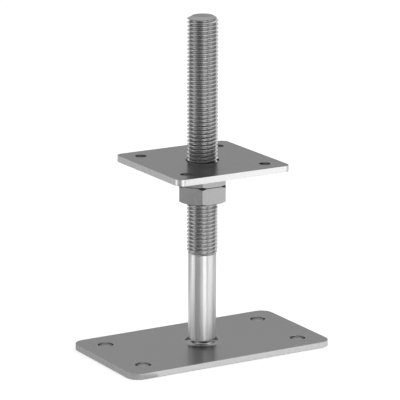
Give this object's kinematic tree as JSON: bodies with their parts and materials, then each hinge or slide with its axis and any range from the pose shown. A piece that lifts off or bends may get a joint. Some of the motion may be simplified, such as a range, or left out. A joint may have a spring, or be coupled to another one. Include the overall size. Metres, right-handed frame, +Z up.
{
  "type": "adjustable post base",
  "caption": "Steel post base with a drilled base plate, a welded threaded rod, stacked hex nuts and a drilled top plate that the nuts raise and lower.",
  "frame": {"origin": "middle of the base plate's underside, under the rod's axis", "axes": "+Z up along the rod, +X along the base plate's long side, +Y along its short side"},
  "size_m": [0.18, 0.1, 0.265],
  "materials": {
    "plate_steel": "satin zinc coated flat steel",
    "rod_steel": "bright drawn steel, rolled thread",
    "weld_metal": "zinc coated fillet weld",
    "nut_steel": "satin zinc coated steel"
  },
  "bodies": {
    "base": {"base_plate": "plate_steel", "threaded_rod": "rod_steel", "base_weld": "weld_metal"},
    "lift": {"top_plate": "plate_steel"},
    "upper_nut": {"adjusting_nut": "nut_steel"},
    "lower_nut": {"lock_nut": "nut_steel"}
  },
  "joints": [
    {"name": "plate_lift", "type": "slide", "parent": "base", "child": "lift", "axis": [0, 0, 1], "range_m": [-0.039, 0.111]},
    {"name": "adjusting_nut_turn", "type": "hinge", "parent": "lift", "child": "upper_nut", "pos_m": [0, 0, 0.13975], "axis": [0, 0, 1], "range_deg": [-4690, 13330]},
    {"name": "lock_nut_turn", "type": "hinge", "parent": "lift", "child": "lower_nut", "pos_m": [0, 0, 0.12625], "axis": [0, 0, 1], "range_deg": [-4690, 13330]}
  ],
  "couplings": [
    {"joint": "adjusting_nut_turn", "follows": "plate_lift", "rad_per_m": 2094.4},
    {"joint": "lock_nut_turn", "follows": "plate_lift", "rad_per_m": 2094.4}
  ]
}
